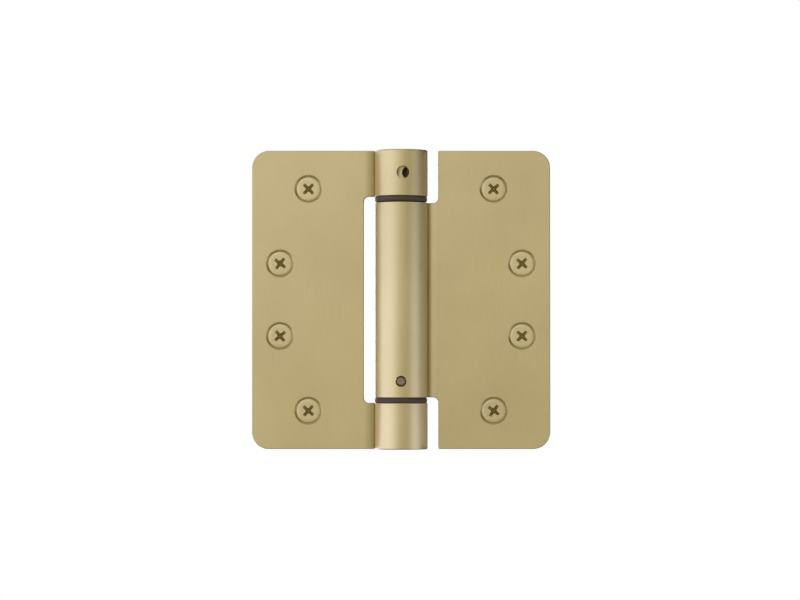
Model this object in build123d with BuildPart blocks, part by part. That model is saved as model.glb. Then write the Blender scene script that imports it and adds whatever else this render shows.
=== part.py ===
# Spring hinge for a full-size door: two rolled leaves, and a torsion spring between them in the barrel.
# Millimetres. Z runs up the pin axis from mid height, X across the leaves, and -Y is the front.
import os
from math import acos, atan2, cos, degrees, pi, radians, sin, sqrt, tan

from build123d import *

os.makedirs("parts", exist_ok=True)

# Leaves
leaf_height = 114.3
leaf_reach = 57.15  # from the pin axis to a leaf's outer edge
leaf_thickness = 3.4
leaf_corner_radius = 6.6
shut_gap = 1.6  # between the two front faces when the hinge is shut
slot_reach = 14.25  # from the pin axis to the edge of a leaf's cut-out
slot_corner_radius = 1.9
edge_break = 0.35

# Barrel, rolled from the leaves' own plate
barrel_radius = 10.15
bend_radius = 11.0  # mid-line of the plate, where it sweeps back into the barrel
curl_seam = 0.3  # between the end of the curl and its own plate
end_knuckle_height = 17.65
knuckle_play = 0.35  # above the centre barrel, which rests on the lower bearing
turning_gap = 0.05  # between faces that turn on each other
running_clearance = 0.06  # on the radius, where a round piece turns in its bore

# Flanged bearings between the knuckles
flange_inset = 0.15  # from the outside of the barrel
flange_thickness = 2.05
sleeve_length = 3.5  # each way past the flange
bearing_wall = 1.85

# Plugs that hold the spring's ends
plug_clearance = 0.35  # on the radius, because a rolled knuckle is never quite round
plug_recess = 0.9  # below the end of the barrel
plug_overrun = 1.0  # past the bearing's sleeve, before the spring
plug_chamfer = 0.4
nose_length = 6.0
nose_clearance = 0.25  # between a nose and the coil around it
socket_across_flats = 5.0
socket_depth = 5.0
anchor_body_height = 6.5
anchor_seat_gap = 0.1  # between the anchor plug and the lower bearing

# Adjusting hole in the top knuckle, and the plug's own pin holes
adjust_hole_radius = 2.4
adjust_hole_drop = 8.85  # below the end of the barrel
adjust_hole_turn = 4.2  # degrees round from the front, to the right
pin_hole_radius = 2.2
pin_hole_depth = 3.4
pin_hole_count = 4
pin_hole_turn = 23.0  # where the plug has come to rest, with no tension pin in it

# Anchor pin across the centre barrel
anchor_pin_radius = 2.0
anchor_pin_rise = 2.65  # above the underside of the anchor plug's body
anchor_pin_sink = 0.2
anchor_pin_clearance = 0.05
anchor_pin_chamfer = 0.3

# Torsion spring
wire_radius = 1.3
coil_clearance = 0.7  # between the coil and the barrel's bore
coil_turns = 18
chords_per_turn = 10
wire_sides = 6
coil_end_gap = 0.2
tang_slot_clearance = 0.1

# Cap driven into the lower end
cap_thickness = 5.0
cap_chamfer = 0.4

# Wood screws with a flat head and a cross recess
screw_length = 31.75
screw_head_radius = 4.7
screw_shank_radius = 2.41
screw_tip_length = 5.0
head_seat_clearance = 0.04
countersink_angle = 82.0
countersink_radius = 5.35
screw_hole_radius = 2.8
near_row_reach = 35.5  # from the pin axis to the two holes nearer the barrel
near_row_spacing = 85.0
far_row_reach = 46.35
far_row_spacing = 27.8
recess_span = 5.2
recess_width = 1.15
recess_depth = 2.4
recess_floor_span = 1.3
frame_screw_turns = (45, 38, 50, 42)  # how far each driver slot has come round
door_screw_turns = (48, 41, 45, 36)

# Places that follow from the sizes above
half_height = leaf_height / 2
leaf_front = shut_gap / 2
leaf_back = leaf_front + leaf_thickness
half_thickness = leaf_thickness / 2
barrel_bore = barrel_radius - leaf_thickness
knuckle_face = half_height - end_knuckle_height
barrel_foot = -knuckle_face + flange_thickness + turning_gap
barrel_top = knuckle_face - flange_thickness - knuckle_play
flange_radius = barrel_radius - flange_inset
sleeve_radius = barrel_bore - running_clearance
sleeve_outer_end = knuckle_face + sleeve_length
sleeve_inner_end = knuckle_face - flange_thickness - sleeve_length
bearing_bore = sleeve_radius - bearing_wall
plug_radius = barrel_bore - plug_clearance
stem_radius = bearing_bore - running_clearance
coil_radius = barrel_bore - coil_clearance - wire_radius
nose_radius = coil_radius - wire_radius - nose_clearance


def front_plane(turn, height):
    """The plane across a radial hole's axis, turned some degrees round to the right from the front."""
    outward = (sin(radians(turn)), -cos(radians(turn)), 0)
    return Plane(origin=(0, 0, height), z_dir=outward)


# Section of a rolled leaf, from above: plate, bend, and a curl round the pin axis back to its own plate
curl_middle = barrel_radius - half_thickness
bend_distance = curl_middle + bend_radius
bend_y = leaf_front + half_thickness + bend_radius
bend_x = -sqrt(bend_distance**2 - bend_y**2)
curl_start = degrees(atan2(bend_y, bend_x))
seam_radius = bend_radius + half_thickness + curl_seam
seam_squares = barrel_radius**2 + bend_distance**2 - seam_radius**2
curl_turn = 360 - degrees(acos(seam_squares / (2 * barrel_radius * bend_distance)))

with BuildSketch() as rolled_section:
    with BuildLine():
        back = Line((-leaf_reach, leaf_back), (bend_x, leaf_back))
        CenterArc((bend_x, bend_y), bend_radius - half_thickness, -90, curl_start - 90)
        outside = CenterArc((0, 0), barrel_radius, curl_start, -curl_turn)
        inside = CenterArc((0, 0), barrel_bore, curl_start, -curl_turn)
        Line(outside @ 1, inside @ 1)
        CenterArc((bend_x, bend_y), bend_radius + half_thickness, -90, curl_start - 90)
        front = Line((bend_x, leaf_front), (-leaf_reach, leaf_front))
        Line(front @ 1, back @ 0)
    make_face()

near_row_z = near_row_spacing / 2
far_row_z = far_row_spacing / 2
door_screw_places = (
    (near_row_reach, near_row_z),
    (far_row_reach, far_row_z),
    (far_row_reach, -far_row_z),
    (near_row_reach, -near_row_z),
)
frame_screw_places = tuple((-x, z) for x, z in door_screw_places)

# Frame leaf: the plate with the two end knuckles
adjust_hole_z = half_height - adjust_hole_drop
with BuildPart() as frame_leaf:
    with BuildSketch(Plane.XY.offset(-half_height)):
        add(rolled_section.sketch)
    extrude(amount=leaf_height)
    with BuildSketch(Plane.XZ) as frame_slot:
        with Locations((-slot_reach, 0)):
            Rectangle(slot_reach + 2 * barrel_radius, 2 * knuckle_face, align=(Align.MIN, Align.CENTER))
        fillet(frame_slot.vertices().group_by(Axis.X)[0], slot_corner_radius)
    extrude(amount=2 * barrel_radius, both=True, mode=Mode.SUBTRACT)
    fillet(frame_leaf.edges().filter_by(Axis.Y).group_by(Axis.X)[0], leaf_corner_radius)
    chamfer(frame_leaf.faces().filter_by(Axis.Z).edges().filter_by(Axis.Y, reverse=True), edge_break)
    with Locations(Plane.XZ.offset(-leaf_front)):
        with Locations(*frame_screw_places):
            CounterSinkHole(screw_hole_radius, countersink_radius, counter_sink_angle=countersink_angle)
    with BuildSketch(front_plane(adjust_hole_turn, adjust_hole_z)):
        Circle(adjust_hole_radius)
    extrude(amount=2 * barrel_radius, mode=Mode.SUBTRACT)
frame_leaf.part.label = "frame_leaf"
export_step(frame_leaf.part, "parts/frame_leaf.step")

# Door leaf: the plate with the long centre barrel
anchor_foot = -sleeve_inner_end + anchor_seat_gap
anchor_pin_z = anchor_foot + anchor_pin_rise
with BuildPart() as door_leaf:
    with BuildSketch(Plane.XY.offset(-half_height)):
        add(rolled_section.sketch)
        mirror(about=Plane.YZ, mode=Mode.REPLACE)
    extrude(amount=leaf_height)
    with BuildSketch(Plane.XZ) as door_notches:
        with Locations((slot_reach, barrel_top)):
            Rectangle(slot_reach + 2 * barrel_radius, leaf_height, align=(Align.MAX, Align.MIN))
        with Locations((slot_reach, barrel_foot)):
            Rectangle(slot_reach + 2 * barrel_radius, leaf_height, align=(Align.MAX, Align.MAX))
        inner_corners = door_notches.vertices().group_by(Axis.X)[-1].sort_by(Axis.Y)[1:3]
        fillet(inner_corners, slot_corner_radius)
    extrude(amount=2 * barrel_radius, both=True, mode=Mode.SUBTRACT)
    fillet(door_leaf.edges().filter_by(Axis.Y).group_by(Axis.X)[-1], leaf_corner_radius)
    chamfer(door_leaf.faces().filter_by(Axis.Z).edges().filter_by(Axis.Y, reverse=True), edge_break)
    with Locations(Plane.XZ.offset(-leaf_front)):
        with Locations(*door_screw_places):
            CounterSinkHole(screw_hole_radius, countersink_radius, counter_sink_angle=countersink_angle)
    with BuildSketch(front_plane(0, anchor_pin_z)):
        Circle(anchor_pin_radius + anchor_pin_clearance)
    extrude(amount=2 * barrel_radius, both=True, mode=Mode.SUBTRACT)
door_leaf.part.label = "door_leaf"
export_step(door_leaf.part, "parts/door_leaf.step")

# Bearings: a flange between the knuckles and a sleeve into each of them
with BuildPart() as lower_bearing:
    with BuildSketch(Plane.XZ):
        with Locations((bearing_bore, -sleeve_outer_end)):
            Rectangle(bearing_wall, sleeve_outer_end - sleeve_inner_end, align=(Align.MIN, Align.MIN))
        with Locations((bearing_bore, -knuckle_face)):
            Rectangle(flange_radius - bearing_bore, flange_thickness, align=(Align.MIN, Align.MIN))
    revolve(axis=Axis.Z)
lower_bearing.part.label = "lower_bearing"
export_step(lower_bearing.part, "parts/lower_bearing.step")

with BuildPart() as upper_bearing:
    mirror(lower_bearing.part, about=Plane.XY)
upper_bearing.part.label = "upper_bearing"
export_step(upper_bearing.part, "parts/upper_bearing.step")

# Adjusting plug: a key socket, a ring of pin holes, and a forked nose for the spring's tang
plug_top = half_height - plug_recess
plug_seat = sleeve_outer_end + turning_gap
stem_foot = sleeve_inner_end - plug_overrun
with BuildPart() as adjusting_plug:
    with BuildSketch(Plane.XY.offset(plug_seat)):
        Circle(plug_radius)
    extrude(amount=plug_top - plug_seat)
    chamfer(adjusting_plug.faces().sort_by(Axis.Z)[-1].edges(), plug_chamfer)
    with BuildSketch(Plane.XY.offset(stem_foot)):
        Circle(stem_radius)
    extrude(amount=plug_seat - stem_foot)
    with BuildSketch(Plane.XY.offset(stem_foot - nose_length)):
        Circle(nose_radius)
        Rectangle(2 * coil_radius, 2 * (wire_radius + tang_slot_clearance), mode=Mode.SUBTRACT)
    extrude(amount=nose_length)
    with BuildSketch(Plane.XY.offset(plug_top)):
        RegularPolygon(socket_across_flats / 2, 6, major_radius=False)
    extrude(amount=-socket_depth, mode=Mode.SUBTRACT)
    for hole in range(pin_hole_count):
        hole_turn = pin_hole_turn + 360 * hole / pin_hole_count
        with BuildSketch(front_plane(hole_turn, adjust_hole_z).offset(plug_radius)):
            Circle(pin_hole_radius)
        extrude(amount=-pin_hole_depth, mode=Mode.SUBTRACT)
adjusting_plug.part.label = "adjusting_plug"
export_step(adjusting_plug.part, "parts/adjusting_plug.step")

# Anchor plug: pinned in the centre barrel, with a stem that turns in the lower bearing
anchor_top = anchor_foot + anchor_body_height
stem_end = -sleeve_outer_end - plug_overrun
with BuildPart() as anchor_plug:
    with BuildSketch(Plane.XY.offset(anchor_foot)):
        Circle(plug_radius)
    extrude(amount=anchor_body_height)
    with BuildSketch(Plane.XY.offset(stem_end)):
        Circle(stem_radius)
    extrude(amount=anchor_foot - stem_end)
    chamfer(anchor_plug.faces().sort_by(Axis.Z)[0].edges(), plug_chamfer)
    with BuildSketch(Plane.XY.offset(anchor_top)):
        Circle(nose_radius)
        Rectangle(2 * coil_radius, 2 * (wire_radius + tang_slot_clearance), mode=Mode.SUBTRACT)
    extrude(amount=nose_length)
    with BuildSketch(front_plane(0, anchor_pin_z)):
        Circle(anchor_pin_radius + anchor_pin_clearance)
    extrude(amount=barrel_radius, both=True, mode=Mode.SUBTRACT)
anchor_plug.part.label = "anchor_plug"
export_step(anchor_plug.part, "parts/anchor_plug.step")

# Anchor pin: straight through the centre barrel, its front end in view
with BuildPart() as anchor_pin:
    with BuildSketch(front_plane(0, anchor_pin_z)):
        Circle(anchor_pin_radius)
    extrude(amount=barrel_radius - anchor_pin_sink, both=True)
    chamfer(anchor_pin.edges().filter_by(GeomType.CIRCLE), anchor_pin_chamfer)
anchor_pin.part.label = "anchor_pin"
export_step(anchor_pin.part, "parts/anchor_pin.step")

# Torsion spring: a coil of short chords, with a tang across the axis at each end
coil_foot = anchor_top + coil_end_gap + wire_radius
coil_head = stem_foot - coil_end_gap - wire_radius
chord_count = coil_turns * chords_per_turn
coil_points = []
for chord in range(chord_count + 1):
    angle = 2 * pi * chord / chords_per_turn
    height = coil_foot + (coil_head - coil_foot) * chord / chord_count
    coil_points.append((coil_radius * cos(angle), coil_radius * sin(angle), height))
with BuildPart() as torsion_spring:
    with BuildLine() as spring_wire:
        Polyline((-nose_radius, 0, coil_foot), *coil_points, (-nose_radius, 0, coil_head))
    with BuildSketch(Plane(origin=spring_wire.line @ 0, z_dir=spring_wire.line % 0)):
        RegularPolygon(wire_radius, wire_sides)
    sweep(path=spring_wire.wires()[0], transition=Transition.RIGHT)
torsion_spring.part.label = "torsion_spring"
export_step(torsion_spring.part, "parts/torsion_spring.step")

# Bottom cap: closes the lower end of the barrel
with BuildPart() as bottom_cap:
    with BuildSketch(Plane.XY.offset(-half_height + plug_recess)):
        Circle(barrel_bore - running_clearance)
    extrude(amount=cap_thickness)
    chamfer(bottom_cap.faces().sort_by(Axis.Z)[0].edges(), cap_chamfer)
bottom_cap.part.label = "bottom_cap"
export_step(bottom_cap.part, "parts/bottom_cap.step")

# One screw along +Y from the middle of its head, then the four in each leaf
half_countersink = radians(countersink_angle / 2)
head_depth = (screw_head_radius - screw_shank_radius) / tan(half_countersink)
head_y = leaf_front + (countersink_radius - screw_head_radius) / tan(half_countersink) - head_seat_clearance
with BuildPart(mode=Mode.PRIVATE) as screw:
    with BuildSketch(Plane.XY):
        with BuildLine():
            Polyline(
                (0, 0),
                (screw_head_radius, 0),
                (screw_shank_radius, head_depth),
                (screw_shank_radius, screw_length - screw_tip_length),
                (0, screw_length),
                close=True,
            )
        make_face()
    revolve(axis=Axis.Y)
    for recess_plane in (Plane.XY, Plane.YZ):
        with BuildSketch(recess_plane):
            with BuildLine():
                Polyline(
                    (-recess_span / 2, 0),
                    (recess_span / 2, 0),
                    (recess_floor_span / 2, recess_depth),
                    (-recess_floor_span / 2, recess_depth),
                    close=True,
                )
            make_face()
        extrude(amount=recess_width / 2, both=True, mode=Mode.SUBTRACT)

with BuildPart() as frame_leaf_screws:
    for (x, z), turn in zip(frame_screw_places, frame_screw_turns):
        add(screw.part.moved(Location((x, head_y, z), (0, turn, 0))))
frame_leaf_screws.part.label = "frame_leaf_screws"
export_step(frame_leaf_screws.part, "parts/frame_leaf_screws.step")

with BuildPart() as door_leaf_screws:
    for (x, z), turn in zip(door_screw_places, door_screw_turns):
        add(screw.part.moved(Location((x, head_y, z), (0, turn, 0))))
door_leaf_screws.part.label = "door_leaf_screws"
export_step(door_leaf_screws.part, "parts/door_leaf_screws.step")
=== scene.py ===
# Spring hinge for a door, flat open: satin brass leaves rolled into a sprung barrel, and eight screws.
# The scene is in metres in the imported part's frame: Z up the pin axis, X across the leaves, -Y the front.
# What is written down for a piece is in millimetres and degrees.
from math import acos, atan2, pi, radians, sqrt, tan

import bmesh
import bpy
import numpy as np
from mathutils.geometry import delaunay_2d_cdt
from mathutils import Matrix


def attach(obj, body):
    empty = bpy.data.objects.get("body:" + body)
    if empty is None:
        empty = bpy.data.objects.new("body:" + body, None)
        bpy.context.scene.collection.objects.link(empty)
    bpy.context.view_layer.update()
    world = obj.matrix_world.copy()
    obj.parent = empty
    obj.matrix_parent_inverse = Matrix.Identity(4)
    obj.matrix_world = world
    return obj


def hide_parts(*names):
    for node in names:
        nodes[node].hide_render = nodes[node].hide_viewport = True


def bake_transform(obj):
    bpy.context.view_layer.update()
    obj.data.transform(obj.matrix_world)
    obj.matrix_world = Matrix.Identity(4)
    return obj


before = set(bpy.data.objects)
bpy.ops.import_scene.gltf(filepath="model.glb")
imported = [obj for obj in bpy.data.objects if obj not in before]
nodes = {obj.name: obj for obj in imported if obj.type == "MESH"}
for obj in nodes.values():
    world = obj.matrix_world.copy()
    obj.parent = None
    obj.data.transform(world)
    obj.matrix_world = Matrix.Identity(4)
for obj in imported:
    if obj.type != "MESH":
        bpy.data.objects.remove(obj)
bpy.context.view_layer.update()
mm = 0.001
mergeGap = 2e-7                                # metres: points closer than this are one


# Small tools

def linear(hexCode):
    # sRGB hex to linear RGBA: the lower part is a straight line, the rest a 2.4 power curve
    parts = np.array([int(hexCode[i:i + 2], 16) for i in (1, 3, 5)]) / 255
    curve = np.where(parts <= 0.04045, parts / 12.92, ((parts + 0.055) / 1.055) ** 2.4)
    return (*[float(c) for c in curve], 1.0)


def addNode(tree, kind, settings=None, inputs=None):
    # one node: settings are its own properties, inputs are values or the sockets that feed it
    node = tree.nodes.new(kind)
    for key, value in (settings or {}).items():
        setattr(node, key, value)
    for key, value in (inputs or {}).items():
        socket = node.inputs[key]
        if isinstance(value, bpy.types.NodeSocket):
            tree.links.new(value, socket)
        else:
            socket.default_value = value
    return node


def newMaterial(name):
    material = bpy.data.materials.new(name)
    material.use_nodes = True
    material.node_tree.nodes.clear()
    return material, material.node_tree


def setRamp(node, stops):
    ramp = node.color_ramp
    while len(ramp.elements) > 1:
        ramp.elements.remove(ramp.elements[-1])
    for at, hexCode in stops:
        element = ramp.elements[0] if at == stops[0][0] else ramp.elements.new(at)
        element.position = at
        element.color = linear(hexCode)


def dress(obj, material):
    obj.data.materials.clear()
    obj.data.materials.append(material)


def addPiece(name, mesh, body, material, slot, *replaced):
    obj = bpy.data.objects.new(name, mesh)
    bpy.context.scene.collection.objects.link(obj)
    dress(obj, material)
    if body:
        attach(obj, body)
    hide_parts(*replaced)
    return obj


def closedGrid(points):
    # quads over a grid of points whose last column lies on its first, or whose rows end in a point
    rows, columns = points.shape[:2]
    corner = np.arange(rows - 1)[:, None] * columns + np.arange(columns - 1)
    return np.stack([corner, corner + 1, corner + columns + 1, corner + columns], -1).reshape(-1, 4)


def closeMesh(mesh, merge):
    # merging the doubled points closes a grid's seam and poles, and the faces are turned outwards
    work = bmesh.new()
    work.from_mesh(mesh)
    if merge:
        bmesh.ops.remove_doubles(work, verts=work.verts, dist=mergeGap)
    bmesh.ops.recalc_face_normals(work, faces=work.faces)
    work.to_mesh(mesh)
    work.free()
    mesh.shade_smooth()


def meshFromGrid(name, points, sharpAngle, hollowAndShade=None):
    # the painted shade has a value for each row, 1 where it darkens the colour fully
    mesh = bpy.data.meshes.new(name)
    mesh.from_pydata((points.reshape(-1, 3) * mm).tolist(), [], closedGrid(points).tolist())
    if hollowAndShade is not None:
        rowShare = np.repeat(hollowAndShade, points.shape[1])
        mesh.attributes.new("hollowAndShade", "FLOAT", "POINT").data.foreach_set("value", rowShare)
    closeMesh(mesh, True)
    mesh.set_sharp_from_angle(angle=radians(sharpAngle))
    return mesh


def turnedPoints(profile, columns):
    # a profile of radius and height, turned about the Z axis; the last column lies on the first
    angle = np.linspace(0, 2 * pi, columns + 1)
    radius, height = np.asarray(profile, float).T
    return np.stack([radius[:, None] * np.cos(angle), radius[:, None] * np.sin(angle),
                     height[:, None] + 0 * angle], -1)


cornerPoints, arcPoints = 3, 2                 # points on a rounded corner, and how many more for a mm of arc
columnGap = 0.2                                # a column this near a straight run's end gets no point


def roundedLoop(corners, columns=()):
    # a closed loop of points through corners (a, b, radius), with the outward normals of an anticlockwise
    # loop; along straight runs it also has a point at every column it passes. A turn's sine and cosine are
    # the cross and dot products of the runs beside it, and its arc starts and ends radius times the tangent
    # of half the turn from the corner
    places, outward = [], []
    count = len(corners)
    spot = np.array([corner[:2] for corner in corners], float)
    run = np.roll(spot, -1, axis=0) - spot
    run /= np.linalg.norm(run, axis=1, keepdims=True)
    turns = [atan2(run[i - 1][0] * run[i][1] - run[i - 1][1] * run[i][0], run[i - 1] @ run[i])
             for i in range(count)]
    reach = [corner[2] * abs(np.tan(turn / 2)) for corner, turn in zip(corners, turns)]
    for i, turn in enumerate(turns):
        before, here, radius, ahead = run[i - 1], run[i], corners[i][2], (i + 1) % count
        side = 1 if turn > 0 else -1
        inward = side * np.array([-before[1], before[0]])
        steps = np.array([turn / 2])
        if radius:
            steps = np.linspace(0, turn, cornerPoints + int(radius * abs(turn) * arcPoints))
        steps = steps[:, None]
        ray = np.hstack([-inward[0] * np.cos(steps) + inward[1] * np.sin(steps),
                         -inward[0] * np.sin(steps) - inward[1] * np.cos(steps)])
        places.extend(spot[i] - before * reach[i] + inward * radius + ray * radius)
        outward.extend(ray * side)
        if abs(here[0]) > abs(here[1]) and len(columns):
            start, end = spot[i] + here * reach[i], spot[ahead] - here * reach[ahead]
            passed = columns[(columns > min(start[0], end[0]) + columnGap)
                             & (columns < max(start[0], end[0]) - columnGap)]
            for column in passed if here[0] > 0 else passed[::-1]:
                places.append(np.array([column, start[1]]))
                outward.append(np.array([here[1], -here[0]]))
    return np.array(places), np.array(outward)


# Camera and stage, in metres

frontFace = 0.8                                # mm: Y of the leaves' front faces
camera = {
    "imageWidth": 800, "focalPixels": 3003.0,  # the photograph's width and the lens's length, in its pixels
    "sensor": 36.0, "clip": (0.01, 100),
    "distance": 1150 * mm,                     # from the leaves' front faces
    "across": -0.4 * mm, "up": -25 * mm,       # it stands a little below the middle of the hinge,
    "aimUp": -0.1 * mm,                        # and looks up at this height
}


def makeCamera(c):
    data = bpy.data.cameras.new("camera")
    data.sensor_width = c["sensor"]
    data.lens = c["focalPixels"] * c["sensor"] / c["imageWidth"]
    data.clip_start, data.clip_end = c["clip"]
    obj = bpy.data.objects.new("camera", data)
    bpy.context.scene.collection.objects.link(obj)
    obj.location = (c["across"], frontFace * mm - c["distance"], c["up"])
    obj.rotation_euler = (radians(90) + atan2(c["aimUp"] - c["up"], c["distance"]), 0, 0)
    bpy.context.scene.camera = obj


stage = {
    "floorDrop": 1.45, "floorReach": 14.0,     # the hinge is held in the air, and the floor is well below it
    "floorSides": 96, "floorColour": "#f4f3f0",
    "glow": 1.12, "glowShare": 0.85,           # how much of what the eye sees of the floor is plain white
    "fillStrength": 0.75,                      # what the white surroundings add to matt surfaces
}
tent = {
    "radius": 1.3, "columns": 145, "rows": 42,
    "lowest": -78.0,                           # degrees: it is open below this
    "roof": (0.98, 26.0),                      # radiance overhead, and the degrees up where panels turn to it
    "foot": (0.55, -15.0),                     # the same below
    "fade": 24.0,                              # degrees that the turn takes
    "climbReach": 0.35,                        # how far up and down the panels go on changing
    "dimmest": 0.05,
    "cool": (0.96, 1.0, 1.3),                  # the tint of a fully cool panel; a warm one is below zero
    "coolRange": (-0.5, 1.5),
    # degrees round from the camera, minus is left: radiance level with the hinge, its change per metre up,
    # how cool its light is, and the change of that per metre up
    "panels": ((-180, 0.80, 0.0, 0.2, 0), (-160, 1.95, -1.0, 0.5, 0), (-135, 2.50, -2.0, 0.9, 0),
               (-112, 1.78, -1.8, 1.0, -1), (-95, 1.80, -1.5, 1.1, -2), (-70, 1.78, -1.3, 1.1, -2),
               (-42, 1.82, -1.0, 1.1, -1), (-20, 1.34, 0.7, 0.4, 2), (-6, 1.01, 1.6, -0.1, 3),
               (0, 0.93, 1.1, -0.2, 2), (20, 0.80, 0.2, -0.2, 0), (36, 0.72, -0.9, 0.0, -2),
               (52, 1.28, -3.2, 0.7, -5), (74, 1.18, -3.4, 0.8, -5), (92, 0.67, -1.9, 0.8, -4),
               (112, 0.05, 0.0, 0.4, 0), (135, 0.05, 0.0, 0.0, 0), (160, 0.12, -1.0, 0.2, 0),
               (180, 0.80, 0.0, 0.2, 0)),
}


def seenByEye(tree):
    # 1 for what the camera sees directly, by reflection or through glass
    path = addNode(tree, "ShaderNodeLightPath")
    seen = addNode(tree, "ShaderNodeMath", {"operation": "MAXIMUM"},
                   {0: path.outputs["Is Camera Ray"], 1: path.outputs["Is Glossy Ray"]})
    return addNode(tree, "ShaderNodeMath", {"operation": "MAXIMUM"},
                   {0: seen.outputs[0], 1: path.outputs["Is Transmission Ray"]}).outputs[0]


def makeFloorAndWorld(s):
    bpy.ops.mesh.primitive_circle_add(vertices=s["floorSides"], radius=s["floorReach"], fill_type="NGON",
                                      location=(0, 0, -s["floorDrop"]))
    floor = bpy.context.object
    floor.name = "floor"
    material, tree = newMaterial("paleFloor")
    share = addNode(tree, "ShaderNodeMath", {"operation": "MULTIPLY"},
                    {0: seenByEye(tree), 1: s["glowShare"]})
    matt = addNode(tree, "ShaderNodeBsdfDiffuse", None, {"Color": linear(s["floorColour"])})
    glow = addNode(tree, "ShaderNodeEmission", None, {"Strength": s["glow"]})
    both = addNode(tree, "ShaderNodeMixShader", None,
                   {0: share.outputs[0], 1: matt.outputs[0], 2: glow.outputs[0]})
    addNode(tree, "ShaderNodeOutputMaterial", None, {"Surface": both.outputs[0]})
    floor.data.materials.append(material)

    # white all round for the eye and for what metal reflects, and a softer white for matt surfaces
    world = bpy.data.worlds.new("whiteRoom")
    bpy.context.scene.world = world
    world.use_nodes = True
    tree = world.node_tree
    tree.nodes.clear()
    strength = addNode(tree, "ShaderNodeMapRange", None,
                       {"Value": seenByEye(tree), "To Min": s["fillStrength"], "To Max": 1.0})
    white = addNode(tree, "ShaderNodeBackground", None,
                    {"Color": (1, 1, 1, 1), "Strength": strength.outputs[0]})
    addNode(tree, "ShaderNodeOutputWorld", None, {"Surface": white.outputs[0]})


def makeTent(t):
    # a white light tent round the hinge: its panels differ in brightness, and the camera looks in through it
    azimuth, elevation = np.meshgrid(np.linspace(-180, 180, t["columns"]),
                                     np.linspace(t["lowest"], 90, t["rows"]))
    a, e = np.radians(azimuth), np.radians(elevation)
    points = t["radius"] * np.stack([np.cos(e) * np.sin(a), -np.cos(e) * np.cos(a), np.sin(e)], -1)
    at, radiance, climb, coolness, coolClimb = np.array(t["panels"]).T
    height = np.clip(points[..., 2], -t["climbReach"], t["climbReach"])
    level = np.interp(azimuth, at, radiance) + height * np.interp(azimuth, at, climb)
    cool = np.interp(azimuth, at, coolness) + height * np.interp(azimuth, at, coolClimb)
    cool = np.clip(cool, *t["coolRange"])
    for (end, start), side in ((t["roof"], 1), (t["foot"], -1)):
        share = np.clip(side * (elevation - start) / t["fade"], 0, 1)
        level = np.maximum(level * (1 - share) + end * share, t["dimmest"])
        cool *= 1 - share
    colour = level[..., None] * (1 + cool[..., None] * (np.array(t["cool"]) - 1))
    colour = np.concatenate([colour, np.ones_like(level)[..., None]], -1)
    mesh = bpy.data.meshes.new("lightTent")
    mesh.from_pydata(points.reshape(-1, 3).tolist(), [], closedGrid(points).tolist())
    mesh.attributes.new("light", "FLOAT_COLOR", "POINT").data.foreach_set("color", colour.ravel())
    obj = bpy.data.objects.new("lightTent", mesh)
    bpy.context.scene.collection.objects.link(obj)
    material, tree = newMaterial("tentCloth")
    lit = addNode(tree, "ShaderNodeAttribute", {"attribute_name": "light"})
    glow = addNode(tree, "ShaderNodeEmission", None, {"Color": lit.outputs["Color"], "Strength": 1.0})
    addNode(tree, "ShaderNodeOutputMaterial", None, {"Surface": glow.outputs[0]})
    mesh.materials.append(material)
    obj.visible_camera = False


makeCamera(camera)
makeFloorAndWorld(stage)
makeTent(tent)
bpy.context.scene.view_settings.view_transform = "Standard"
print("camera and stage done")


# Finishes

noiseRange = (0.3, 0.7)                        # nearly all of a noise texture lies between these,
toneRange = (0.35, 0.65)                       # and the deepest and the lightest tone are reached inside them
waveGap = 0.314                                # a wave texture's rings are this far apart at a scale of 1
brassLook = {
    # the darkest colour is painted shade, laid in recesses, creases and on rims
    "base": "#b5a36e", "light": "#baa873", "deep": "#b09e69", "hollowAndShade": "#9a864e",
    "roughness": (0.34, 0.40),
    # real brushing is finer: this is as coarse as it needs to show
    "grainWide": 0.16 * mm, "grainLong": 9 * mm,
    "relief": 0.004 * mm,
    "cloudSize": 30 * mm, "cloudShare": 0.5,
}
# a screw is tumbled and plated loose, so its grain is short and its shine a little duller
screwLook = {**brassLook, "base": "#bbaa75", "light": "#c2b17c", "deep": "#b3a16d",
             "grainLong": 0.5 * mm, "roughness": (0.38, 0.46)}


def finishMetal(tree, look, tone, pattern, more):
    # plated metal: tone colours it, and its roughness and relief follow pattern. A mesh's own painted shade
    # runs from 0 to 1 and darkens the colour towards the look's shade colour, in recesses, creases and on
    # rims
    hollowAndShade = addNode(tree, "ShaderNodeAttribute", {"attribute_name": "hollowAndShade"})
    colour = addNode(tree, "ShaderNodeMix", {"data_type": "RGBA", "blend_type": "MIX"}, {
        0: hollowAndShade.outputs["Fac"], 6: tone, 7: linear(look["hollowAndShade"])})
    rough = addNode(tree, "ShaderNodeMapRange", None, {
        "Value": pattern, "From Min": noiseRange[0], "From Max": noiseRange[1],
        "To Min": look["roughness"][0], "To Max": look["roughness"][1]})
    bump = addNode(tree, "ShaderNodeBump", None, {
        "Height": pattern, "Distance": look["relief"], "Strength": 0.6})
    shader = addNode(tree, "ShaderNodeBsdfPrincipled", None, {
        "Base Color": colour.outputs[2], "Metallic": 1.0, "Roughness": rough.outputs[0],
        "Normal": bump.outputs[0], **more})
    addNode(tree, "ShaderNodeOutputMaterial", None, {"Surface": shader.outputs[0]})


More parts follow.
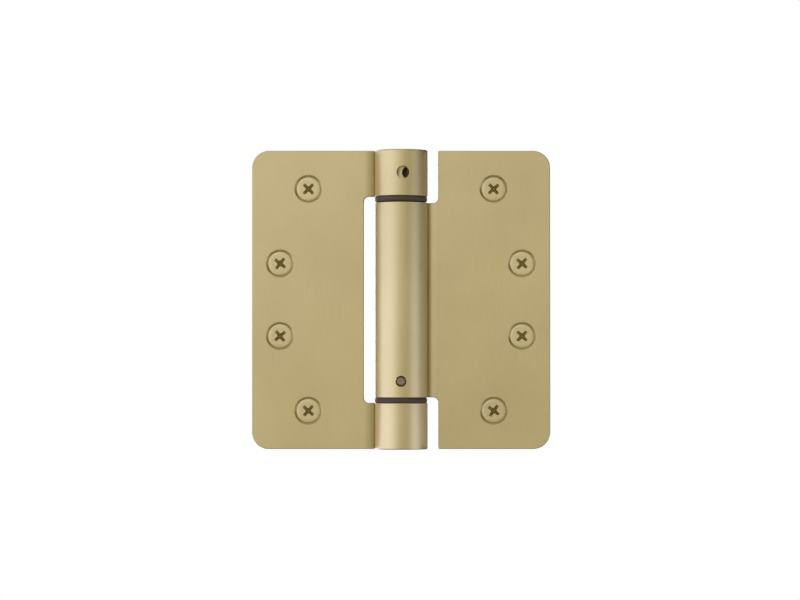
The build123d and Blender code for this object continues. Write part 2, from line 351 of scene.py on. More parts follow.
def makeSatinBrass(name, look):
    # rolled steel plated with brass and brushed along the barrel, under clear lacquer: soft streaks of light
    material, tree = newMaterial(name)
    place = addNode(tree, "ShaderNodeTexCoord").outputs["Object"]
    along = addNode(tree, "ShaderNodeMapping", None, {
        "Vector": place, "Scale": (1 / look["grainWide"], 1 / look["grainWide"], 1 / look["grainLong"])})
    grain = addNode(tree, "ShaderNodeTexNoise", None, {
        "Vector": along.outputs[0], "Scale": 1.0, "Detail": 3.0})
    cloud = addNode(tree, "ShaderNodeTexNoise", None, {
        "Vector": place, "Scale": 1 / look["cloudSize"], "Detail": 2.0})
    clouded = addNode(tree, "ShaderNodeMath", {"operation": "MULTIPLY"}, {
        0: cloud.outputs["Fac"], 1: look["cloudShare"]})
    mixed = addNode(tree, "ShaderNodeMath", {"operation": "MULTIPLY_ADD"}, {
        0: grain.outputs["Fac"], 1: 1 - look["cloudShare"], 2: clouded.outputs[0]})
    tone = addNode(tree, "ShaderNodeValToRGB", None, {"Fac": mixed.outputs[0]})
    setRamp(tone, ((toneRange[0], look["deep"]), (0.5, look["base"]), (toneRange[1], look["light"])))
    finishMetal(tree, look, tone.outputs["Color"], grain.outputs["Fac"],
                {"Coat Weight": 1.0, "Coat Roughness": 0.25})
    return material


nylonLook = {"deep": "#3b2f1f", "light": "#433524", "roughness": 0.5,
             "cloudSize": 6 * mm, "pitSize": 0.3 * mm, "pitDepth": 0.01 * mm}


def makeNylon(name, look):
    # moulded dark nylon: a dull sheen with the fine unevenness of the mould
    material, tree = newMaterial(name)
    place = addNode(tree, "ShaderNodeTexCoord").outputs["Object"]
    cloud = addNode(tree, "ShaderNodeTexNoise", None, {
        "Vector": place, "Scale": 1 / look["cloudSize"], "Detail": 3.0})
    tone = addNode(tree, "ShaderNodeValToRGB", None, {"Fac": cloud.outputs["Fac"]})
    setRamp(tone, ((toneRange[0], look["deep"]), (toneRange[1], look["light"])))
    pits = addNode(tree, "ShaderNodeTexNoise", None, {
        "Vector": place, "Scale": 1 / look["pitSize"], "Detail": 2.0})
    bump = addNode(tree, "ShaderNodeBump", None, {
        "Height": pits.outputs["Fac"], "Distance": look["pitDepth"], "Strength": 0.5})
    shader = addNode(tree, "ShaderNodeBsdfPrincipled", None, {
        "Base Color": tone.outputs["Color"], "Roughness": look["roughness"], "Normal": bump.outputs[0],
        "Specular IOR Level": 0.3})
    addNode(tree, "ShaderNodeOutputMaterial", None, {"Surface": shader.outputs[0]})
    return material


turnedLook = {
    # the third colour is painted shade, where a mesh marks it
    "deep": "#b4a681", "light": "#c4b691", "hollowAndShade": "#7a6a48", "roughness": (0.30, 0.42),
    "cell": (2, 2, 1 / 6),                     # mm: how far apart the marks of the tool are each way
    "relief": 0.004 * mm,
    "facingAxis": "Z", "facingGap": 0.5 * mm, "facingShare": 0.3,   # the rings that facing leaves on an end
}
# drawn pin stock: darker, dull, and streaked along its length, with a darker painted shade
pinLook = {**turnedLook, "deep": "#7c6d4d", "light": "#8c7d5c", "hollowAndShade": "#64553a",
           "cell": (1 / 4, 10 / 3, 1 / 4), "roughness": (0.42, 0.52), "facingShare": 0.0}
# oil-tempered wire: dark, and mottled with a dull shine
springLook = {**turnedLook, "deep": "#4a4640", "light": "#5a564e", "hollowAndShade": "#3a3630",
              "cell": (10 / 9, 10 / 9, 10 / 9), "roughness": (0.32, 0.46), "facingShare": 0.0}


def makeTurnedSteel(name, look):
    # turned steel: fine rings round the axis, a dull shine, and painted shade where a mesh marks it
    material, tree = newMaterial(name)
    place = addNode(tree, "ShaderNodeTexCoord").outputs["Object"]
    across = addNode(tree, "ShaderNodeMapping", None, {
        "Vector": place, "Scale": [1 / (cell * mm) for cell in look["cell"]]})
    grain = addNode(tree, "ShaderNodeTexNoise", None, {
        "Vector": across.outputs[0], "Scale": 1.0, "Detail": 2.0})
    ringed = {"wave_type": "RINGS", "rings_direction": look["facingAxis"]}
    facing = addNode(tree, "ShaderNodeTexWave", ringed, {
        "Vector": place, "Scale": waveGap / look["facingGap"], "Distortion": 1.5, "Detail": 1.0,
        "Detail Scale": 0.5})
    rings = addNode(tree, "ShaderNodeMix", {"data_type": "FLOAT"}, {
        0: look["facingShare"], 2: grain.outputs["Fac"], 3: facing.outputs["Fac"]})
    tone = addNode(tree, "ShaderNodeValToRGB", None, {"Fac": rings.outputs[0]})
    setRamp(tone, ((toneRange[0], look["deep"]), (toneRange[1], look["light"])))
    finishMetal(tree, look, tone.outputs["Color"], rings.outputs[0], {})
    return material


brass = makeSatinBrass("satinBrass", brassLook)
screwBrass = makeSatinBrass("screwBrass", screwLook)
nylon = makeNylon("darkNylon", nylonLook)
steel = makeTurnedSteel("turnedSteel", turnedLook)
pinSteel = makeTurnedSteel("pinSteel", pinLook)
springSteel = makeTurnedSteel("springSteel", springLook)
for name in ("adjusting_plug", "anchor_plug"):
    dress(nodes[name], steel)
print("finishes done")


# Leaves: each is a flat blank, rolled up. S runs along the blank from its outer edge, T through the plate
# from -half on the front to +half on the back, which becomes the outside of the barrel

leaf = {
    "height": 114.3, "reach": 57.15, "thickness": 3.4, "front": frontFace,
    "barrelRadius": 10.15, "bendRadius": 11.0, "curlSeam": 0.3,
    "cornerRadius": 6.6, "slotReach": 14.25, "slotCorner": 1.9,    # both reaches are from the pin axis
    "cutCorner": 0.5, "curlCorner": 0.9,        # the blank's corners beside the barrel and at the curl's end
    "edgeRound": 0.35, "roundSteps": 4,         # every edge of the plate is rounded by this much,
    "knuckleRound": 0.5,                        # the barrel's outer ends by this much along it,
    "bearingRound": 0.2,                        # and the ends that face a bearing by this much:
    "faceMargin": 1.0,                          # those up to this far beyond knuckleFace
    "columnTurn": 4.5,                          # degrees between the columns of points round the barrel
    "bendColumns": 12,
    "rowReach": 56, "rowGap": 4.0,              # rows of points, up and down from the middle,
    "fineReach": 2.0, "fineGap": 0.8,           # and finer ones over a hole and this far past it
    "clearGap": 0.45,                           # points nearer than this to an outline are left out
    "holeSides": 48, "lip": 0.12,               # a hole's lip is rounded by this much,
    "lipMiddle": 0.3,                           # and its middle ring is this share of that from both ends
    "screwHole": 2.8, "countersink": 5.35, "countersinkAngle": 82.0,
    # the points that soften the two ends of a countersink's cone: how far out and how far back from the end
    "coneFoot": ((0.0, 0.05), (0.05, -0.06)), "coneMouth": ((-0.04, 0.05), (0.03, 0.02)),
    "mouthNormal": (-0.38, -0.92),
    "holeShade": 0.2, "rimShade": 0.8,          # how much painted shade darkens a hole's wall and the blank's rim,
    "creaseShade": 0.35, "creaseReach": 3.0,    # and the painted shade in the crease beside the barrel, which builds up over this
    "creaseEnd": 1.0,                           # from the plate, and ends this far along the curl
    "screwPlaces": ((35.5, 42.5), (46.35, 13.9), (46.35, -13.9), (35.5, -42.5)),
}
knuckleFace = 39.5                              # where an end knuckle meets its bearing, up and down
barrelFoot, barrelTop = -37.4, 37.1             # the ends of the centre barrel
pinHeight = -31.2

half = leaf["thickness"] / 2
curlMiddle = leaf["barrelRadius"] - half
bendY = leaf["front"] + half + leaf["bendRadius"]
bendX = -sqrt((curlMiddle + leaf["bendRadius"]) ** 2 - bendY ** 2)
curlStart = atan2(bendY, bendX)
# the curl stops where its outside comes within the seam of its own plate: the cosine rule on the two centres
seamRadius = leaf["bendRadius"] + half + leaf["curlSeam"]
seamCosine = ((leaf["barrelRadius"] ** 2 + (curlMiddle + leaf["bendRadius"]) ** 2 - seamRadius ** 2)
              / (2 * leaf["barrelRadius"] * (curlMiddle + leaf["bendRadius"])))
curlTurn = 2 * pi - acos(seamCosine)
plateEnd = leaf["reach"] + bendX
bendEnd = plateEnd + leaf["bendRadius"] * (curlStart - pi / 2)
blankEnd = bendEnd + curlMiddle * curlTurn


def fold(points, normals):
    # plate: straight along X. Bend: a turn about a centre behind the plate. Curl: a turn about the pin axis,
    # where the radius grows with T. A normal turns with the same frame of along, through and up
    s, t, z = points.T
    bendAngle = -pi / 2 + (s - plateEnd) / leaf["bendRadius"]
    curlAngle = curlStart - (s - bendEnd) / curlMiddle
    where = [s <= plateEnd, s <= bendEnd]
    x = np.select(where, [s - leaf["reach"], bendX + (leaf["bendRadius"] - t) * np.cos(bendAngle)],
                  (curlMiddle + t) * np.cos(curlAngle))
    y = np.select(where, [leaf["front"] + half + t, bendY + (leaf["bendRadius"] - t) * np.sin(bendAngle)],
                  (curlMiddle + t) * np.sin(curlAngle))
    throughX = np.select(where, [0 * s, -np.cos(bendAngle)], np.cos(curlAngle))
    throughY = np.select(where, [0 * s + 1, -np.sin(bendAngle)], np.sin(curlAngle))
    along, through, up = normals.T
    folded = np.stack([along * throughY + through * throughX, -along * throughX + through * throughY, up], 1)
    return np.stack([x, y, z], 1), folded


tiny = 1e-12                                    # keeps a side without length from being divided by
sameSpot = 1e-5                                 # points nearer than this are one to the triangulation


def insideLoop(points, loop):
    # a line to the right of the point crosses the loop an odd number of times
    ahead = np.roll(loop, -1, axis=0)
    spans = (loop[:, 1] > points[:, 1, None]) != (ahead[:, 1] > points[:, 1, None])
    rise = np.where(ahead[:, 1] == loop[:, 1], 1.0, ahead[:, 1] - loop[:, 1])
    crossing = loop[:, 0] + (points[:, 1, None] - loop[:, 1]) / rise * (ahead[:, 0] - loop[:, 0])
    return (spans & (points[:, 0, None] < crossing)).sum(1) % 2 == 1


def gapToLoop(points, loop):
    # the nearest point of each side is a share of the way along it: the dot product of the side and the line
    # to the point, over the side's length squared
    ahead = np.roll(loop, -1, axis=0) - loop
    away = points[:, None] - loop
    share = np.clip((away * ahead).sum(2) / np.maximum((ahead ** 2).sum(1), tiny), 0, 1)
    return np.sqrt(((away - share[..., None] * ahead) ** 2).sum(2)).min(1)


def fillFace(loops, grid):
    # triangles over one face of the blank, between its outline (the first loop) and its holes
    keep = insideLoop(grid, loops[0])
    for i, loop in enumerate(loops):
        keep &= gapToLoop(grid, loop) > leaf["clearGap"]
        if i:
            keep &= ~insideLoop(grid, loop)
    inner = grid[keep]
    points = np.concatenate(loops + [inner])
    edges, first = [], 0
    for loop in loops:
        edges += [(first + i, first + (i + 1) % len(loop)) for i in range(len(loop))]
        first += len(loop)
    made = delaunay_2d_cdt(points.tolist(), edges, [], 0, sameSpot)
    if len(made[0]) != len(points):
        raise ValueError("the face's points have merged")
    faces = np.array(made[2])
    middles = points[faces].mean(1)
    good = insideLoop(middles, loops[0])
    for loop in loops[1:]:
        good &= ~insideLoop(middles, loop)
    return inner, faces[good]


# A wall of the blank is a stack of loops from its back face to its front face. Each loop has points in S, T
# and height, and normals along, through and up, of any length

def rimWall(corners, columns):
    # the outline, where each edge is a quarter of an ellipse, as wide along the face as reach and as deep as
    # edge. With it comes how much painted shade each point of a loop gets: the ends that face a bearing get
    # none of it
    place, outward = roundedLoop(corners, columns)
    edge, steps = leaf["edgeRound"], leaf["roundSteps"]
    curled = np.clip((place[:, 0] - plateEnd) / (bendEnd - plateEnd), 0, 1)
    outer = abs(place[:, 1]) > knuckleFace + leaf["faceMargin"]
    reach = (edge + curled * (np.where(outer, leaf["knuckleRound"], leaf["bearingRound"]) - edge))[:, None]
    rimShading = leaf["rimShade"] * np.where(outer, 1, 1 - curled)
    wall = []
    for turn, side in [(a, 1) for a in np.linspace(pi / 2, 0, steps + 1)] \
            + [(a, -1) for a in np.linspace(0, pi / 2, steps + 1)]:
        moved = place - outward * reach * (1 - np.cos(turn))
        through = np.full(len(place), side * (half - edge * (1 - np.sin(turn))))
        away = outward * np.cos(turn) / reach
        wall.append((np.column_stack([moved[:, 0], through, moved[:, 1]]),
                     np.column_stack([away[:, 0], 0 * through + side * np.sin(turn) / edge, away[:, 1]])))
    return wall, rimShading


def holeLip(radius, side):
    # a hole's rounded lip from one face inwards: radius, T, and the normal's parts outwards and through
    lip, middle = leaf["lip"], leaf["lip"] * leaf["lipMiddle"]
    return [(radius + lip, side * half, 0, side), (radius + middle, side * (half - middle), -0.7, side * 0.7),
            (radius, side * (half - lip), -1, 0)]


def screwHoleProfile():
    small, wide, slope = leaf["screwHole"], leaf["countersink"], radians(leaf["countersinkAngle"] / 2)
    coneEnd = -half + (wide - small) / tan(slope)
    cone = (-np.cos(slope), -np.sin(slope))
    ends = [(small + out, coneEnd + back) for out, back in leaf["coneFoot"]]
    ends += [(wide + out, -half + back) for out, back in leaf["coneMouth"]]
    normals = ((-1, 0), cone, cone, leaf["mouthNormal"])
    return holeLip(small, 1) + [(*end, *normal) for end, normal in zip(ends, normals)] \
        + [(wide + leaf["lip"], -half, 0, -1)]


def holeWall(profile, s, height, acrossAxis):
    # a hole about S and height. One across the axis is drilled straight: a point at radius R from the axis
    # and angle A from the hole is R sin A to the side
    around = np.linspace(0, 2 * pi, leaf["holeSides"], endpoint=False)
    wall = []
    for radius, t, out, through in profile:
        aside = radius * np.cos(around)
        if acrossAxis:
            aside = curlMiddle * np.arcsin(aside / (curlMiddle + t))
        wall.append((np.column_stack([s + aside, 0 * around + t, height + radius * np.sin(around)]),
                     np.column_stack([out * np.cos(around), 0 * around + through, out * np.sin(around)])))
    return wall


def makeLeaf(name, corners, crossHoles, mirrored):
    columns = np.concatenate([
        np.linspace(plateEnd, bendEnd, leaf["bendColumns"], endpoint=False),
        np.linspace(bendEnd, blankEnd, int(np.degrees(curlTurn) / leaf["columnTurn"]), endpoint=False)])
    rows = np.arange(-leaf["rowReach"], leaf["rowReach"] + 1, leaf["rowGap"])
    fineEnd = leaf["fineReach"] + leaf["fineGap"] / 2
    for _, height, radius in crossHoles:
        near = abs(rows - height) < radius + fineEnd
        fine = height + np.arange(-radius - leaf["fineReach"], radius + fineEnd, leaf["fineGap"])
        rows = np.sort(np.concatenate([rows[~near], fine]))
    grid = np.stack(np.meshgrid(columns, rows), -1).reshape(-1, 2)

    rim, rimShading = rimWall(corners, columns)
    walls = [rim] + [holeWall(screwHoleProfile(), leaf["reach"] - x, height, False)
                     for x, height in leaf["screwPlaces"]]
    for angle, height, radius in crossHoles:
        profile = holeLip(radius, 1) + holeLip(radius, -1)[::-1]
        walls.append(holeWall(profile, bendEnd + curlMiddle * (curlStart - angle), height, True))

    points, normals, faces, hollowAndShade = [], [], [], []
    ends = {1: [], -1: []}                      # the numbers of the loop points that the two faces start from
    total = 0
    for wall in walls:
        size = len(wall[0][0])
        for i, (loopPoints, loopNormals) in enumerate(wall):
            points.append(loopPoints)
            normals.append(loopNormals)
            inside = 0 < i < len(wall) - 1
            # painted shade on the walls of the rim and of the holes, between their faces
            hollowAndShade.append(inside * (rimShading if wall is rim else np.full(size, leaf["holeShade"])))
            here = total + i * size + np.arange(size)
            if i < len(wall) - 1:
                ahead = np.roll(here, -1)
                faces.append(np.stack([here, ahead, ahead + size, here + size], 1).tolist())
        ends[1].append(total + np.arange(size))
        ends[-1].append(total + (len(wall) - 1) * size + np.arange(size))
        total += len(wall) * size
    for side, wallEnd in ((1, 0), (-1, -1)):
        loops = [wall[wallEnd][0][:, [0, 2]] for wall in walls]
        inner, triangles = fillFace(loops, grid)
        numbers = np.concatenate(ends[side] + [total + np.arange(len(inner))])
        points.append(np.column_stack([inner[:, 0], np.full(len(inner), side * half), inner[:, 1]]))
        normals.append(np.column_stack([0 * inner[:, 0], np.full(len(inner), side), 0 * inner[:, 0]]))
        hollowAndShade.append(0 * inner[:, 0])
        faces.append(numbers[triangles].tolist())
        total += len(inner)
    points, hollowAndShade = np.concatenate(points), np.concatenate(hollowAndShade)
    # painted shade also darkens the front in the crease between the plate and the barrel
    crease = np.clip((points[:, 0] - plateEnd) / leaf["creaseReach"], 0, 1)
    crease *= points[:, 0] < bendEnd + leaf["creaseEnd"]
    hollowAndShade = np.maximum(hollowAndShade, leaf["creaseShade"] * crease * (points[:, 1] < 0))
    placed, folded = fold(points, np.concatenate(normals))
    if mirrored:
        placed[:, 0] *= -1
        folded[:, 0] *= -1

    mesh = bpy.data.meshes.new(name)
    mesh.from_pydata((placed * mm).tolist(), [], sum(faces, []))
    mesh.attributes.new("hollowAndShade", "FLOAT", "POINT").data.foreach_set("value", hollowAndShade)
    closeMesh(mesh, False)
    folded /= np.linalg.norm(folded, axis=1, keepdims=True)
    mesh.normals_split_custom_set_from_vertices(folded.tolist())
    return mesh


# the blanks' outlines, anticlockwise: S, height and the corner's radius. A slot makes room for the other
# leaf's part of the barrel
top, slotS = leaf["height"] / 2, leaf["reach"] - leaf["slotReach"]
wide, inner, cut, curl = leaf["cornerRadius"], leaf["slotCorner"], leaf["cutCorner"], leaf["curlCorner"]
frameBlank = (
    (0, -top, wide), (blankEnd, -top, curl), (blankEnd, -knuckleFace, curl), (slotS, -knuckleFace, inner),
    (slotS, knuckleFace, inner), (blankEnd, knuckleFace, curl), (blankEnd, top, curl), (0, top, wide),
)
doorBlank = (
    (0, -top, wide), (slotS, -top, cut), (slotS, barrelFoot, inner), (blankEnd, barrelFoot, curl),
    (blankEnd, barrelTop, curl), (slotS, barrelTop, inner), (slotS, top, cut), (0, top, wide),
)
adjustHole = (radians(-90 + 4.2), 48.3, 2.4)    # angle round the axis, height and radius
pinHoles = ((-pi / 2, pinHeight, 2.05), (pi / 2, pinHeight, 2.05))
addPiece("frameLeaf", makeLeaf("frameLeaf", frameBlank, (adjustHole,), False), "frame_leaf_body", brass,
         "plated_steel", "frame_leaf")
addPiece("doorLeaf", makeLeaf("doorLeaf", doorBlank, pinHoles, True), "door_leaf_body", brass,
         "plated_steel", "door_leaf")
print("leaves done")


# Screws: one grid from the pit of the cross recess, over the head, down the shank and thread to the point

screw = {
    "headFace": 1.508,                                  # Y of the head's flat face
    "headRadius": 4.7, "headDepth": 2.634, "shankRadius": 2.41,
    "headRound": 0.36, "flatShares": (0.3, 0.65, 1),    # the flat's rings, from the recess to the rim
    "rimPoints": ((-0.17, 0.07), (-0.07, 0.19)),        # the rim: out from the head's radius, and depth
    "coneStart": 0.43,                                  # the depth where the cone under the head starts
    "neck": (0.08, 0.1),                                # the round from cone to shank: out, and up or down
    "length": 31.749, "tipLength": 5.0,
    "recess": {"span": 2.55, "floorSpan": 0.75, "width": 0.54, "floorWidth": 0.42,
               "core": 1.05, "floorCore": 0.66, "depth": 2.3, "pit": 0.6, "pitRing": 0.2, "lip": 0.07,
               "shares": (0, 0.2, 0.4, 0.6, 0.8, 1), "wingRound": 0.6, "wingPoints": 4, "corePoints": 3},
    "threadStart": 9.0, "pitch": 2.1, "threadDepth": 0.62,
    # share of the pitch, and of the thread's height
    "threadSteps": ((0.0, 0.0), (0.3, 0.0), (0.46, 1.0), (0.54, 1.0), (0.7, 0.0)),
    "threadFade": 1.3,                                  # turns over which the thread grows,
    "tipThread": 0.4,                                   # and how much of its depth is left at the point
    "recessShade": 0.25, "headShade": 0.15,             # how much painted shade darkens the recess, and the head's rim and cone
    "sharpAngle": 32,
}
screwTurns = {"frame": (45, 38, 50, 42), "door": (48, 41, 45, 36)}


def crossLoop(span, width, core):
    # an eighth of the cross, from the end of a wing to the hollow between two, turned and mirrored round. A
    # wing's side meets the core's circle at root: core squared is root squared plus width squared
    r = screw["recess"]
    tipRound = width * r["wingRound"]
    turn = np.radians([0, 45, 90])
    tip = np.stack([span - tipRound + tipRound * np.cos(turn), width - tipRound + tipRound * np.sin(turn)], 1)
    root = sqrt(max(core ** 2 - width ** 2, width ** 2))
    straight = np.linspace(span - tipRound, root, r["wingPoints"] + 1)[1:]
    side = np.stack([straight, np.full(len(straight), width)], 1)
    arc = np.linspace(atan2(width, root), pi / 4, r["corePoints"] + 1)[1:, None]
    hollowAndShade = max(core, width * sqrt(2)) * np.hstack([np.cos(arc), np.sin(arc)])
    eighth = np.concatenate([[[span, 0]], tip, side, hollowAndShade])
    quarter = np.concatenate([eighth, eighth[-2:0:-1, ::-1]])
    x, z = np.concatenate([quarter @ np.array([[np.cos(a), np.sin(a)], [-np.sin(a), np.cos(a)]])
                           for a in (0, pi / 2, pi, 3 * pi / 2)]).T
    return np.append(x, x[0]), np.append(z, z[0])


def makeScrew(name, centreX, centreZ, turn):
    # rings of x, depth below the head's face, and z. The recess narrows evenly from its mouth to its floor,
    # and below that is a conical pit
    r = screw["recess"]
    floor = np.array([r["floorSpan"], r["floorWidth"], r["floorCore"]])
    mouth = np.array([r["span"], r["width"], r["core"]])
    x, z = crossLoop(*floor)
    rings = [(x * share, r["depth"] + r["pit"] * (1 - share), z * share) for share in (0, r["pitRing"])]
    for share in r["shares"]:
        x, z = crossLoop(*(floor + share * (mouth - floor)))
        rings.append((x, r["depth"] - share * (r["depth"] - r["lip"]), z))
    recessRows = len(rings) - 1
    x, z = crossLoop(*(mouth + r["lip"]))
    rings.append((x, 0.0, z))
    angle = np.linspace(0, 2 * pi, len(x))
    flat = screw["headRadius"] - screw["headRound"]
    for share in screw["flatShares"]:
        rings.append((x + share * (flat * np.cos(angle) - x), 0.0, z + share * (flat * np.sin(angle) - z)))

    # the cone loses this much radius for each mm of depth
    cone = (screw["headRadius"] - screw["shankRadius"]) / screw["headDepth"]
    out, along = screw["neck"]
    headRows = [(screw["headRadius"] + away, depth) for away, depth in screw["rimPoints"]]
    headRows += [(screw["headRadius"] - screw["coneStart"] * cone, screw["coneStart"]),
                 (screw["shankRadius"] + out, screw["headDepth"] - along)]
    shankRows = [(screw["shankRadius"], screw["headDepth"] + along),
                 (screw["shankRadius"], screw["threadStart"])]
    headStart = len(rings)
    for radius, depth in headRows + shankRows:
        rings.append((radius * np.cos(angle), depth, radius * np.sin(angle)))

    # the thread's rows climb with the angle and are cut off at both ends, where they shrink onto one ring
    turns = int((screw["length"] - screw["threadStart"]) / screw["pitch"]) + 3
    for row in range(turns):
        for share, height in screw["threadSteps"]:
            depth = screw["threadStart"] + screw["pitch"] * (row - 1 + share + angle / (2 * pi))
            depth = np.clip(depth, screw["threadStart"], screw["length"])
            fade = np.clip((depth - screw["threadStart"]) / (screw["threadFade"] * screw["pitch"]), 0, 1)
            taper = np.clip((screw["length"] - depth) / screw["tipLength"], 0, 1)
            left = screw["tipThread"] + (1 - screw["tipThread"]) * taper
            radius = screw["shankRadius"] - screw["threadDepth"] * (1 - height) * fade * left
            radius = np.maximum(radius * taper, 0)
            rings.append((radius * np.cos(angle), depth, radius * np.sin(angle)))
    grid = np.stack([np.stack(np.broadcast_arrays(*ring), -1) for ring in rings])
    # painted shade in the cross recess, and on the head's rim and cone
    hollowAndShade = np.zeros(len(rings))
    hollowAndShade[:recessRows] = screw["recessShade"]
    hollowAndShade[headStart:headStart + len(headRows)] = screw["headShade"]
    c, s = np.cos(radians(turn)), np.sin(radians(turn))
    placed = np.stack([centreX + c * grid[..., 0] + s * grid[..., 2], screw["headFace"] + grid[..., 1],
                       centreZ - s * grid[..., 0] + c * grid[..., 2]], -1)
    return meshFromGrid(name, placed, screw["sharpAngle"], hollowAndShade)


for side, sign in (("frame", -1), ("door", 1)):
    for i, ((x, z), turn) in enumerate(zip(leaf["screwPlaces"], screwTurns[side])):
        name = f"{side}Screw{i + 1}"
        addPiece(name, makeScrew(name, sign * x, z, turn), f"{side}_leaf_body", screwBrass, "screw_steel",
                 f"{side}_leaf_screws")
print("screws done")


# Bearings: a flange between two knuckles, rounded at its rim, and a sleeve each way

bearing = {
    "flange": 2.05, "flangeRadius": 10.0, "rimRound": 0.12,
    "step": 0.18, "stepHeight": 0.42, "stepRound": 0.08,    # the rim stands out between two lower steps
    "sleeveRadius": 6.69, "sleeveRound": 0.35, "fillet": 0.1,
    "bore": 4.84, "boreRound": 0.2, "outerEnd": 43.0, "innerEnd": 33.95,
    "columns": 96, "sharpAngle": 50,
}


def makeBearing(name, sign):
    # half a section's outline, radius and height: from the bore's end nearer the hinge's middle, round the
    # outside and back to the bore's other end
    b = bearing
    inner, outer = knuckleFace - b["flange"], knuckleFace
    rim, low = b["flangeRadius"], b["flangeRadius"] - b["step"]
    loop, _ = roundedLoop((
        (b["bore"], b["innerEnd"], b["boreRound"]), (b["sleeveRadius"], b["innerEnd"], b["sleeveRound"]),
        (b["sleeveRadius"], inner, b["fillet"]), (low, inner, b["rimRound"]),
        (low, inner + b["stepHeight"], b["stepRound"]), (rim, inner + b["stepHeight"], b["rimRound"]),
        (rim, outer - b["stepHeight"], b["rimRound"]), (low, outer - b["stepHeight"], b["stepRound"]),
        (low, outer, b["rimRound"]), (b["sleeveRadius"], outer, b["fillet"]),
        (b["sleeveRadius"], b["outerEnd"], b["sleeveRound"]), (b["bore"], b["outerEnd"], b["boreRound"])))
    loop = np.concatenate([loop, loop[:1]])
    return meshFromGrid(name, turnedPoints(loop * (1, sign), b["columns"]), b["sharpAngle"])


addPiece("upperBearing", makeBearing("upperBearing", 1), "frame_leaf_body", nylon, "bearing_nylon",
         "upper_bearing")
addPiece("lowerBearing", makeBearing("lowerBearing", -1), "frame_leaf_body", nylon, "bearing_nylon",
         "lower_bearing")


# Anchor pin: rounded over at both ends, and a little dished there from the press that drove it in

pin = {
    "radius": 2.0, "end": 9.95, "endRound": 0.95, "roundPoints": 6,
    "dish": ((0, 0.1), (0.48, 0.075), (0.8, 0.02)),    # radius and depth, from the middle of an end outwards
    "hollowAndShade": (0, 0, 0, 0.2, 0.5, 0.7, 0.8, 0.9, 1),   # how much painted shade each row gets, from the same middle
    "columns": 64, "sharpAngle": 50,
}


def makePin(name, p):
    # half a section from the middle of one end, radius and height: the dish, then a quarter round. The other
    # half is its mirror image, and the whole is turned about Z and laid along Y
    turn = np.linspace(0, pi / 2, p["roundPoints"])
    section = [(radius, p["end"] - depth) for radius, depth in p["dish"]]
    section += [(p["radius"] - p["endRound"] * (1 - np.sin(a)), p["end"] - p["endRound"] * (1 - np.cos(a)))
                for a in turn]
    section, hollowAndShade = np.array(section), np.array(p["hollowAndShade"])
    section = np.concatenate([section, (section * (1, -1))[::-1]])
    points = turnedPoints(section, p["columns"])[..., [0, 2, 1]] + (0, 0, pinHeight)
    # the rows get painted shade towards the rounded ends
    return meshFromGrid(name, points, p["sharpAngle"], np.concatenate([hollowAndShade, hollowAndShade[::-1]]))


addPiece("anchorPin", makePin("anchorPin", pin), "door_leaf_body", pinSteel, "pin_steel", "anchor_pin")


# Bottom cap: a pressed disc with a shallow dish

cap = {
    "radius": 6.69, "low": -56.25, "high": -51.25, "edgeRound": 0.6, "topRound": 0.3,
    "dishRadius": 4.6, "dish": 0.35, "dishSlope": 0.5, "dishRound": 0.5, "slopeRound": 0.4,
    "columns": 96, "sharpAngle": 50,
}


def makeCap(name, c):
    floor = c["low"] + c["dish"]
    loop, _ = roundedLoop(((0, floor, 0), (c["dishRadius"], floor, c["dishRound"]),
                           (c["dishRadius"] + c["dishSlope"], c["low"], c["slopeRound"]),
                           (c["radius"], c["low"], c["edgeRound"]), (c["radius"], c["high"], c["topRound"]),
                           (0, c["high"], 0)))
    return meshFromGrid(name, turnedPoints(loop, c["columns"]), c["sharpAngle"])


addPiece("bottomCap", makeCap("bottomCap", cap), "frame_leaf_body", brass, "turned_steel", "bottom_cap")


# Torsion spring: round wire, with a tang across each plug's fork that bends into the coil

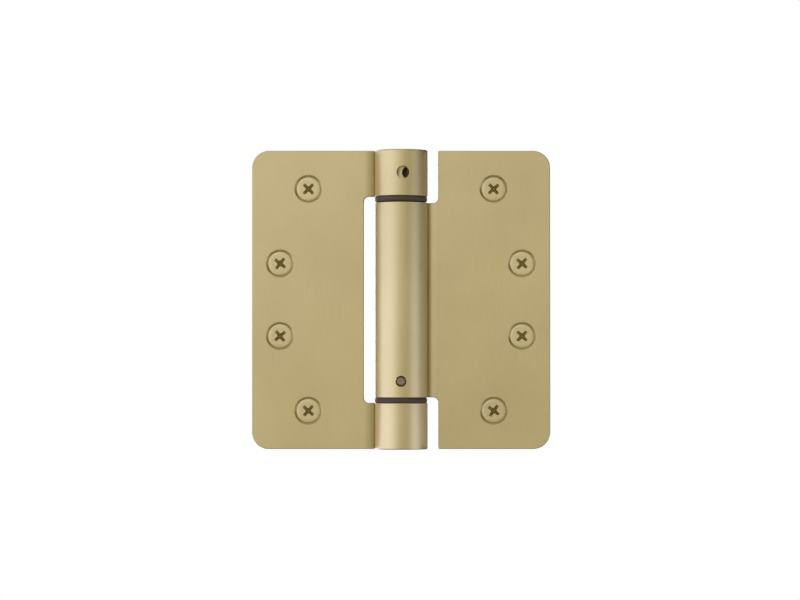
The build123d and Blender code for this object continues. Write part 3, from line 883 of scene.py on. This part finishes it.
spring = {
    "wire": 1.3, "coil": 4.75, "turns": 18, "foot": -25.85, "head": 31.45, "tang": 3.2, "bend": 1.6,
    "perTurn": 40, "tangPoints": 8, "bendPoints": 11, "sides": 12, "sharpAngle": 60,
    "twistMargin": 1.8,                        # how far a twist of the coil would keep from both tangs
}


def makeSpring(name, s):
    # the tang's bend touches both the tang's line and the coil's circle from inside
    tangEnd = sqrt((s["coil"] - s["bend"]) ** 2 - s["bend"] ** 2)
    meet = atan2(s["bend"], tangEnd)
    line = np.linspace(-s["tang"], tangEnd, s["tangPoints"])
    turn = np.linspace(-pi / 2, meet, s["bendPoints"] + 1)[1:]
    bend = np.column_stack([tangEnd + s["bend"] * np.cos(turn), s["bend"] + s["bend"] * np.sin(turn)])
    flat = np.concatenate([np.column_stack([line, 0 * line]), bend])
    angle = np.linspace(meet, 2 * pi * s["turns"] - meet, s["turns"] * s["perTurn"])[1:-1]
    climb = (s["head"] - s["foot"]) / (2 * pi * s["turns"])
    coil = np.column_stack([s["coil"] * np.cos(angle), s["coil"] * np.sin(angle), s["foot"] + climb * angle])
    first = np.column_stack([flat, np.full(len(flat), s["foot"])])
    first[len(line):, 2] += climb * meet * np.linspace(0, 1, len(turn))
    last = first[::-1] * (1, -1, -1) + (0, 0, s["foot"] + s["head"])
    path = np.concatenate([first, coil, last])

    # the wire's rings stand across its path, and a ring of one point closes each end
    ahead = np.gradient(path, axis=0)
    ahead /= np.linalg.norm(ahead, axis=1, keepdims=True)
    side = np.cross(ahead, (0, 0, 1))
    side /= np.linalg.norm(side, axis=1, keepdims=True)
    up = np.cross(side, ahead)
    around = np.linspace(0, 2 * pi, s["sides"] + 1)[:, None, None]
    tube = (path + s["wire"] * (np.cos(around) * side + np.sin(around) * up)).transpose(1, 0, 2)
    ends = [np.repeat(path[i][None], s["sides"] + 1, 0)[None] for i in (0, -1)]
    return meshFromGrid(name, np.concatenate([ends[0], tube, ends[1]]), s["sharpAngle"])


# the spring is tied to neither leaf's body and is baked where it lies. In the hinge its lower end stays with
# the anchor plug, its upper end turns with the adjusting plug, and the coil between them twists
coil = addPiece("torsionSpring", makeSpring("torsionSpring", spring), None, springSteel, "spring_steel",
                "torsion_spring")
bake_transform(coil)
print("barrel pieces done")
